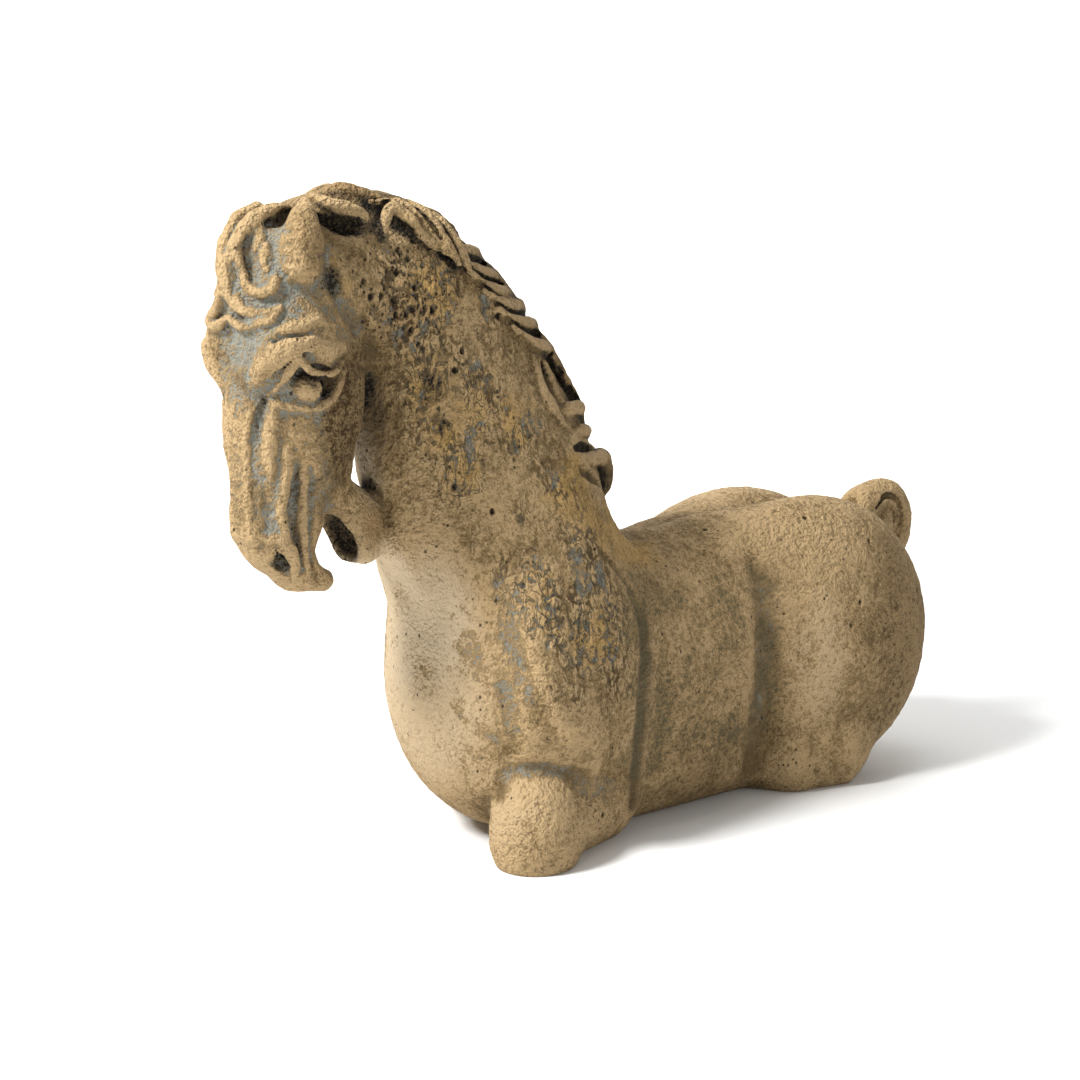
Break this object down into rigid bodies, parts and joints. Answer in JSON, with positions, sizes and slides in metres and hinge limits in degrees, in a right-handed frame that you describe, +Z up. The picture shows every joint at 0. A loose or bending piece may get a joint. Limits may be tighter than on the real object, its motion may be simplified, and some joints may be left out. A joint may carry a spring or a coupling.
{
  "type": "recumbent horse figure",
  "caption": "Recumbent tomb horse figure with arched neck, bowed open-mouthed head, rolled mane, folded legs and curled tail, in aged fired clay.",
  "frame": {"origin": "middle of the length and of the width, on the ground plane that the belly and the folded legs rest on", "axes": "+Z up, -Y the way the horse faces, +X to the horse's left"},
  "size_m": [0.1468, 0.4741, 0.32],
  "materials": {
    "aged_clay": "matte, tan over blue-grey in the hollows"
  },
  "bodies": {
    "root": {"horse": "aged_clay"}
  },
  "joints": []
}
